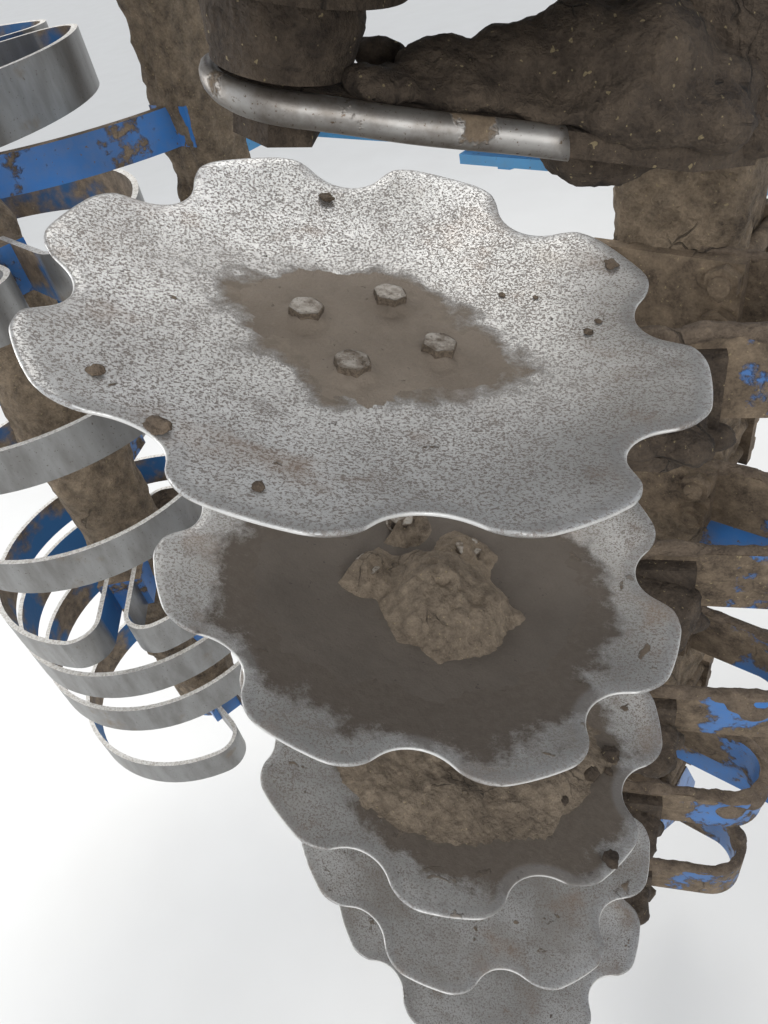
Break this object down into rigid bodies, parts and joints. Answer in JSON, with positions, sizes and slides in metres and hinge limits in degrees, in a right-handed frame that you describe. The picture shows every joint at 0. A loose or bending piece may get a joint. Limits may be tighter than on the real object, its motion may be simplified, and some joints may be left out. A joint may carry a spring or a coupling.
{
  "type": "folding wing of a disc harrow",
  "caption": "Folding wing of a compact disc harrow, standing folded upright: notched concave discs on spring arms under a welded frame, with a trailing hoop roller.",
  "frame": {"origin": "on the fold hinge's axis, in the middle of the rear beam's hinge lugs", "axes": "+X the machine's driving direction, +Y away from the soil, +Z outboard along the beams, which is up while the wing stands folded"},
  "size_m": [2.3497, 0.7867, 2.2681],
  "materials": {
    "soiled_paint": "blue paint caked with dry soil",
    "blue_paint": "worn blue paint",
    "blade_steel": "soil-polished steel with dark pits",
    "hoop_steel": "worn flat bar with light edges",
    "bare_steel": "bare steel",
    "soiled_iron": "casting under dry soil"
  },
  "bodies": {
    "frame": {"front_beam": "soiled_paint", "rear_beam": "soiled_paint", "cross_beams": "blue_paint", "hinge_lugs": "blue_paint", "cylinder_lugs": "blue_paint", "front_leaves": "blue_paint", "rear_leaves": "blue_paint", "front_carriers": "soiled_paint", "rear_carriers": "soiled_paint", "front_axles": "bare_steel", "rear_axles": "bare_steel", "front_clamps": "soiled_paint", "rear_clamps": "soiled_paint", "pivot_lugs": "blue_paint", "pivot_pins": "bare_steel", "link_rails": "blue_paint"},
    "roller_frame": {"roller_beam": "soiled_paint", "roller_arms": "blue_paint", "roller_hangers": "blue_paint", "depth_link": "blue_paint"},
    "roller": {"roller_core": "soiled_paint", "hoop_clamps": "blue_paint", "hoops": "hoop_steel"},
    "rear_disc_1": {"rear_blade_1": "blade_steel", "rear_hub_1": "soiled_iron"},
    "rear_disc_2": {"rear_blade_2": "blade_steel", "rear_hub_2": "soiled_iron"},
    "rear_disc_3": {"rear_blade_3": "blade_steel", "rear_hub_3": "soiled_iron"},
    "rear_disc_4": {"rear_blade_4": "blade_steel", "rear_hub_4": "soiled_iron"},
    "rear_disc_5": {"rear_blade_5": "blade_steel", "rear_hub_5": "soiled_iron"},
    "rear_disc_6": {"rear_blade_6": "blade_steel", "rear_hub_6": "soiled_iron"},
    "rear_disc_7": {"rear_blade_7": "blade_steel", "rear_hub_7": "soiled_iron"},
    "rear_disc_8": {"rear_blade_8": "blade_steel", "rear_hub_8": "soiled_iron"},
    "front_disc_1": {"front_blade_1": "blade_steel", "front_hub_1": "soiled_iron"},
    "front_disc_2": {"front_blade_2": "blade_steel", "front_hub_2": "soiled_iron"},
    "front_disc_3": {"front_blade_3": "blade_steel", "front_hub_3": "soiled_iron"},
    "front_disc_4": {"front_blade_4": "blade_steel", "front_hub_4": "soiled_iron"},
    "front_disc_5": {"front_blade_5": "blade_steel", "front_hub_5": "soiled_iron"},
    "front_disc_6": {"front_blade_6": "blade_steel", "front_hub_6": "soiled_iron"},
    "front_disc_7": {"front_blade_7": "blade_steel", "front_hub_7": "soiled_iron"},
    "front_disc_8": {"front_blade_8": "blade_steel", "front_hub_8": "soiled_iron"}
  },
  "joints": [
    {"name": "roller_depth", "type": "hinge", "parent": "frame", "child": "roller_frame", "pos_m": [-0.105, -0.095, 1.135], "axis": [0, 0, 1], "range_deg": [-5, 5]},
    {"name": "roller_spin", "type": "hinge", "parent": "roller_frame", "child": "roller", "pos_m": [-0.958, -0.418, 1.065], "axis": [0, 0, 1], "continuous": true},
    {"name": "rear_disc_1_spin", "type": "hinge", "parent": "frame", "child": "rear_disc_1", "pos_m": [-0.095, -0.487, 0.36], "axis": [0.2722, 0.1564, 0.9494], "continuous": true},
    {"name": "rear_disc_2_spin", "type": "hinge", "parent": "frame", "child": "rear_disc_2", "pos_m": [-0.095, -0.487, 0.61], "axis": [0.2722, 0.1564, 0.9494], "continuous": true},
    {"name": "rear_disc_3_spin", "type": "hinge", "parent": "frame", "child": "rear_disc_3", "pos_m": [-0.095, -0.487, 0.86], "axis": [0.2722, 0.1564, 0.9494], "continuous": true},
    {"name": "rear_disc_4_spin", "type": "hinge", "parent": "frame", "child": "rear_disc_4", "pos_m": [-0.095, -0.487, 1.11], "axis": [0.2722, 0.1564, 0.9494], "continuous": true},
    {"name": "rear_disc_5_spin", "type": "hinge", "parent": "frame", "child": "rear_disc_5", "pos_m": [-0.095, -0.487, 1.36], "axis": [0.2722, 0.1564, 0.9494], "continuous": true},
    {"name": "rear_disc_6_spin", "type": "hinge", "parent": "frame", "child": "rear_disc_6", "pos_m": [-0.095, -0.487, 1.61], "axis": [0.2722, 0.1564, 0.9494], "continuous": true},
    {"name": "rear_disc_7_spin", "type": "hinge", "parent": "frame", "child": "rear_disc_7", "pos_m": [-0.095, -0.487, 1.86], "axis": [0.2722, 0.1564, 0.9494], "continuous": true},
    {"name": "rear_disc_8_spin", "type": "hinge", "parent": "frame", "child": "rear_disc_8", "pos_m": [-0.095, -0.487, 2.11], "axis": [0.2722, 0.1564, 0.9494], "continuous": true},
    {"name": "front_disc_1_spin", "type": "hinge", "parent": "frame", "child": "front_disc_1", "pos_m": [0.805, -0.487, 0.235], "axis": [0.2722, 0.1564, -0.9494], "continuous": true},
    {"name": "front_disc_2_spin", "type": "hinge", "parent": "frame", "child": "front_disc_2", "pos_m": [0.805, -0.487, 0.485], "axis": [0.2722, 0.1564, -0.9494], "continuous": true},
    {"name": "front_disc_3_spin", "type": "hinge", "parent": "frame", "child": "front_disc_3", "pos_m": [0.805, -0.487, 0.735], "axis": [0.2722, 0.1564, -0.9494], "continuous": true},
    {"name": "front_disc_4_spin", "type": "hinge", "parent": "frame", "child": "front_disc_4", "pos_m": [0.805, -0.487, 0.985], "axis": [0.2722, 0.1564, -0.9494], "continuous": true},
    {"name": "front_disc_5_spin", "type": "hinge", "parent": "frame", "child": "front_disc_5", "pos_m": [0.805, -0.487, 1.235], "axis": [0.2722, 0.1564, -0.9494], "continuous": true},
    {"name": "front_disc_6_spin", "type": "hinge", "parent": "frame", "child": "front_disc_6", "pos_m": [0.805, -0.487, 1.485], "axis": [0.2722, 0.1564, -0.9494], "continuous": true},
    {"name": "front_disc_7_spin", "type": "hinge", "parent": "frame", "child": "front_disc_7", "pos_m": [0.805, -0.487, 1.735], "axis": [0.2722, 0.1564, -0.9494], "continuous": true},
    {"name": "front_disc_8_spin", "type": "hinge", "parent": "frame", "child": "front_disc_8", "pos_m": [0.805, -0.487, 1.985], "axis": [0.2722, 0.1564, -0.9494], "continuous": true}
  ]
}
